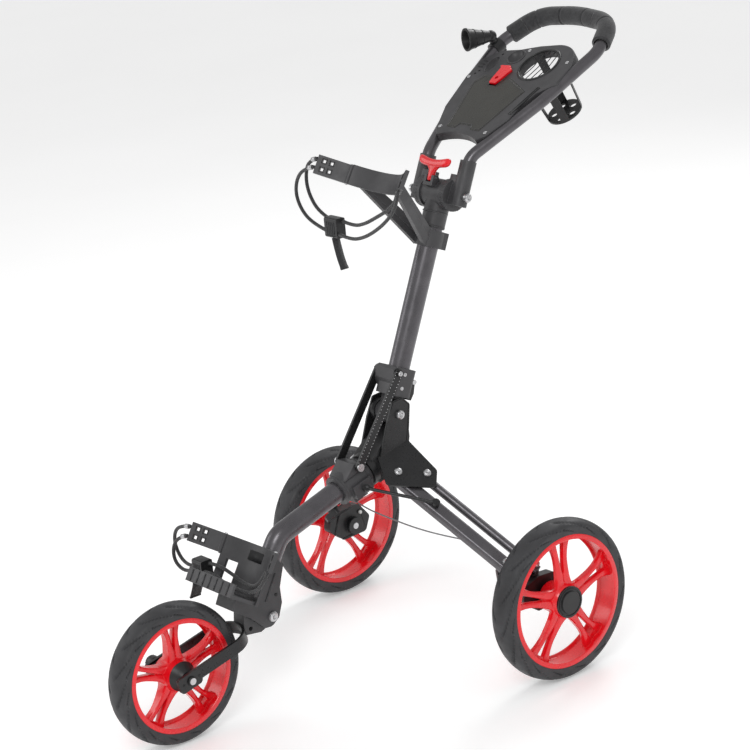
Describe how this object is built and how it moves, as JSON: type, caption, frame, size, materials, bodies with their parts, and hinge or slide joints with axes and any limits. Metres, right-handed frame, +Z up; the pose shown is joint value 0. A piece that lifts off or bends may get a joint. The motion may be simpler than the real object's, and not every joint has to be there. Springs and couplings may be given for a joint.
{
  "type": "golf push trolley",
  "caption": "Three-wheel folding push trolley for a golf bag: leaning mast, two bag cradles with elastic cords, console and loop handle.",
  "frame": {"origin": "on the ground, at the middle of the footprint", "axes": "+Z up, -Y forward towards the front wheel, +X the trolley's left"},
  "size_m": [0.68, 1.1578, 1.0753],
  "materials": {
    "tyre": "satin solid foam tyre",
    "red": "gloss",
    "black_plastic": "fine texture",
    "charcoal_plastic": "fine texture",
    "grey_tube": "satin metallic",
    "black_metal": "semi-gloss",
    "steel": "brushed",
    "panel": "gloss",
    "foam": "closed-cell foam",
    "elastic": "braided cover",
    "webbing": "ribbed weave",
    "cable": "smooth sheath"
  },
  "bodies": {
    "chassis": {"front_tube": "grey_tube", "knuckle": "charcoal_plastic", "hinge_block": "black_plastic", "side_plates": "black_metal", "chassis_bolts": "steel", "lower_cradle": "charcoal_plastic", "lower_wings": "charcoal_plastic", "lower_cords": "elastic", "lower_buckle": "black_plastic", "lower_strap": "webbing", "brake_cable": "cable"},
    "slider": {"slider_clamp": "charcoal_plastic", "strut_pin": "steel"},
    "strut_left": {"strut_left": "black_metal"},
    "strut_right": {"strut_right": "black_metal"},
    "fold_rod_left": {"fold_rod_left": "black_metal"},
    "fold_rod_right": {"fold_rod_right": "black_metal"},
    "lower_leg_left": {"lower_leg_left": "grey_tube"},
    "lower_leg_right": {"lower_leg_right": "grey_tube"},
    "upper_leg_left": {"upper_leg_left": "grey_tube"},
    "upper_leg_right": {"upper_leg_right": "grey_tube"},
    "bracket_left": {"wheel_bracket_left": "black_plastic", "wheel_pins_left": "steel"},
    "bracket_right": {"wheel_bracket_right": "black_plastic", "wheel_pins_right": "steel"},
    "rear_wheel_left": {"rear_tyre_left": "tyre", "rear_rim_left": "red", "rear_hub_cap_left": "black_plastic"},
    "rear_wheel_right": {"rear_tyre_right": "tyre", "rear_rim_right": "red", "rear_hub_cap_right": "black_plastic"},
    "fork": {"front_fork": "black_metal", "fork_hinge": "charcoal_plastic", "fork_ends": "black_plastic", "front_axle": "steel"},
    "front_wheel": {"front_tyre": "tyre", "front_rim": "red", "front_hubs": "black_plastic"},
    "alignment_lever": {"alignment_lever": "black_plastic"},
    "mast": {"mast_tube": "grey_tube", "mast_sleeve": "charcoal_plastic", "mast_head": "charcoal_plastic", "mast_pins": "steel", "upper_bracket": "charcoal_plastic", "upper_cradle": "charcoal_plastic", "upper_wings": "charcoal_plastic", "upper_cords": "elastic", "upper_buckle": "black_plastic", "upper_strap": "webbing"},
    "mast_latch": {"mast_latch": "black_plastic"},
    "release_lever": {"release_lever": "red"},
    "handle": {"handle_tube": "grey_tube", "handle_grip": "foam", "handle_sockets": "charcoal_plastic", "console": "charcoal_plastic", "cup_basket": "black_plastic", "holder_clamp": "black_plastic"},
    "console_lid": {"console_lid": "panel"},
    "card_clip": {"card_clip": "red"},
    "umbrella_holder": {"umbrella_holder": "black_plastic"}
  },
  "joints": [
    {"name": "mast_fold", "type": "hinge", "parent": "chassis", "child": "mast", "pos_m": [0, 0.05, 0.447], "axis": [1, 0, 0], "range_deg": [0, 105]},
    {"name": "slider_travel", "type": "slide", "parent": "chassis", "child": "slider", "axis": [0, -0.9548, -0.2974], "range_m": [0, 0.1298]},
    {"name": "strut_left_swing", "type": "hinge", "parent": "slider", "child": "strut_left", "pos_m": [0.028, -0.047, 0.377], "axis": [1, 0, 0], "range_deg": [-20.5, 0]},
    {"name": "strut_right_swing", "type": "hinge", "parent": "slider", "child": "strut_right", "pos_m": [-0.028, -0.047, 0.377], "axis": [1, 0, 0], "range_deg": [-20.5, 0]},
    {"name": "fold_rod_left_swing", "type": "hinge", "parent": "slider", "child": "fold_rod_left", "pos_m": [0.042, -0.046, 0.341], "axis": [0.6601, -0.2435, 0.7106], "range_deg": [0, 31.7]},
    {"name": "fold_rod_right_swing", "type": "hinge", "parent": "slider", "child": "fold_rod_right", "pos_m": [-0.042, -0.046, 0.341], "axis": [0.6601, 0.2435, -0.7106], "range_deg": [0, 31.7]},
    {"name": "lower_leg_left_fold", "type": "hinge", "parent": "chassis", "child": "lower_leg_left", "pos_m": [0.0515, 0.014, 0.346], "axis": [-0.612, 0.189, -0.768], "range_deg": [0, 70.1]},
    {"name": "lower_leg_right_fold", "type": "hinge", "parent": "chassis", "child": "lower_leg_right", "pos_m": [-0.0515, 0.014, 0.346], "axis": [-0.612, -0.189, 0.768], "range_deg": [0, 70.1]},
    {"name": "upper_leg_left_fold", "type": "hinge", "parent": "chassis", "child": "upper_leg_left", "pos_m": [0.0771, 0.0572, 0.3363], "axis": [-0.612, 0.189, -0.768], "range_deg": [0, 70.1]},
    {"name": "upper_leg_right_fold", "type": "hinge", "parent": "chassis", "child": "upper_leg_right", "pos_m": [-0.0771, 0.0572, 0.3363], "axis": [-0.612, -0.189, 0.768], "range_deg": [0, 70.1]},
    {"name": "bracket_left_turn", "type": "hinge", "parent": "lower_leg_left", "child": "bracket_left", "pos_m": [0.24612, 0.07995, 0.20716], "axis": [-0.612, 0.189, -0.768], "range_deg": [-70.1, 0]},
    {"name": "bracket_right_turn", "type": "hinge", "parent": "lower_leg_right", "child": "bracket_right", "pos_m": [-0.24612, 0.07995, 0.20716], "axis": [-0.612, -0.189, 0.768], "range_deg": [-70.1, 0]},
    {"name": "fork_fold", "type": "hinge", "parent": "chassis", "child": "fork", "pos_m": [0, -0.26, 0.168], "axis": [1, 0, 0], "range_deg": [0, 155.2]},
    {"name": "rear_wheel_left_spin", "type": "hinge", "parent": "bracket_left", "child": "rear_wheel_left", "pos_m": [0.31, 0.142, 0.143], "axis": [1, 0, 0], "continuous": true},
    {"name": "rear_wheel_right_spin", "type": "hinge", "parent": "bracket_right", "child": "rear_wheel_right", "pos_m": [-0.31, 0.142, 0.143], "axis": [1, 0, 0], "continuous": true},
    {"name": "front_wheel_spin", "type": "hinge", "parent": "fork", "child": "front_wheel", "pos_m": [0, -0.454, 0.124], "axis": [1, 0, 0], "continuous": true},
    {"name": "alignment_turn", "type": "hinge", "parent": "fork", "child": "alignment_lever", "pos_m": [-0.057, -0.454, 0.124], "axis": [1, 0, 0], "range_deg": [-30, 30]},
    {"name": "latch_swing", "type": "hinge", "parent": "mast", "child": "mast_latch", "pos_m": [0, 0.09709, 0.49181], "axis": [1, 0, 0], "range_deg": [0, 25], "stiffness_Nm_per_rad": 0.3, "springref_deg": -8.59},
    {"name": "release_lever_pull", "type": "hinge", "parent": "mast", "child": "release_lever", "pos_m": [0, 0.19191, 0.83814], "axis": [1, 0, 0], "range_deg": [0, 25], "stiffness_Nm_per_rad": 0.5, "springref_deg": -8.59},
    {"name": "handle_fold", "type": "hinge", "parent": "mast", "child": "handle", "pos_m": [0, 0.208, 0.807], "axis": [1, 0, 0], "range_deg": [-124, 0]},
    {"name": "lid_open", "type": "hinge", "parent": "handle", "child": "console_lid", "pos_m": [-0.006, 0.27255, 0.9095], "axis": [1, 0, 0], "range_deg": [0, 70]},
    {"name": "clip_lift", "type": "hinge", "parent": "handle", "child": "card_clip", "pos_m": [-0.028, 0.41529, 0.99025], "axis": [1, 0, 0], "range_deg": [-40, 0], "stiffness_Nm_per_rad": 0.2, "springref_deg": 8.59},
    {"name": "umbrella_swivel", "type": "hinge", "parent": "handle", "child": "umbrella_holder", "pos_m": [-0.124, 0.47411, 1.00814], "axis": [0, -0.4924, 0.8704], "range_deg": [-30, 30]}
  ],
  "couplings": [
    {"joint": "slider_travel", "follows": "mast_fold", "m_per_rad": 0.07077},
    {"joint": "strut_left_swing", "follows": "mast_fold", "ratio": -0.1943},
    {"joint": "strut_right_swing", "follows": "mast_fold", "ratio": -0.1943},
    {"joint": "fold_rod_left_swing", "follows": "mast_fold", "ratio": 0.30095},
    {"joint": "fold_rod_right_swing", "follows": "mast_fold", "ratio": 0.30095},
    {"joint": "lower_leg_left_fold", "follows": "mast_fold", "ratio": 0.66667},
    {"joint": "lower_leg_right_fold", "follows": "mast_fold", "ratio": 0.66667},
    {"joint": "upper_leg_left_fold", "follows": "mast_fold", "ratio": 0.66667},
    {"joint": "upper_leg_right_fold", "follows": "mast_fold", "ratio": 0.66667},
    {"joint": "bracket_left_turn", "follows": "mast_fold", "ratio": -0.66667},
    {"joint": "bracket_right_turn", "follows": "mast_fold", "ratio": -0.66667},
    {"joint": "fork_fold", "follows": "mast_fold", "ratio": 1.476}
  ]
}
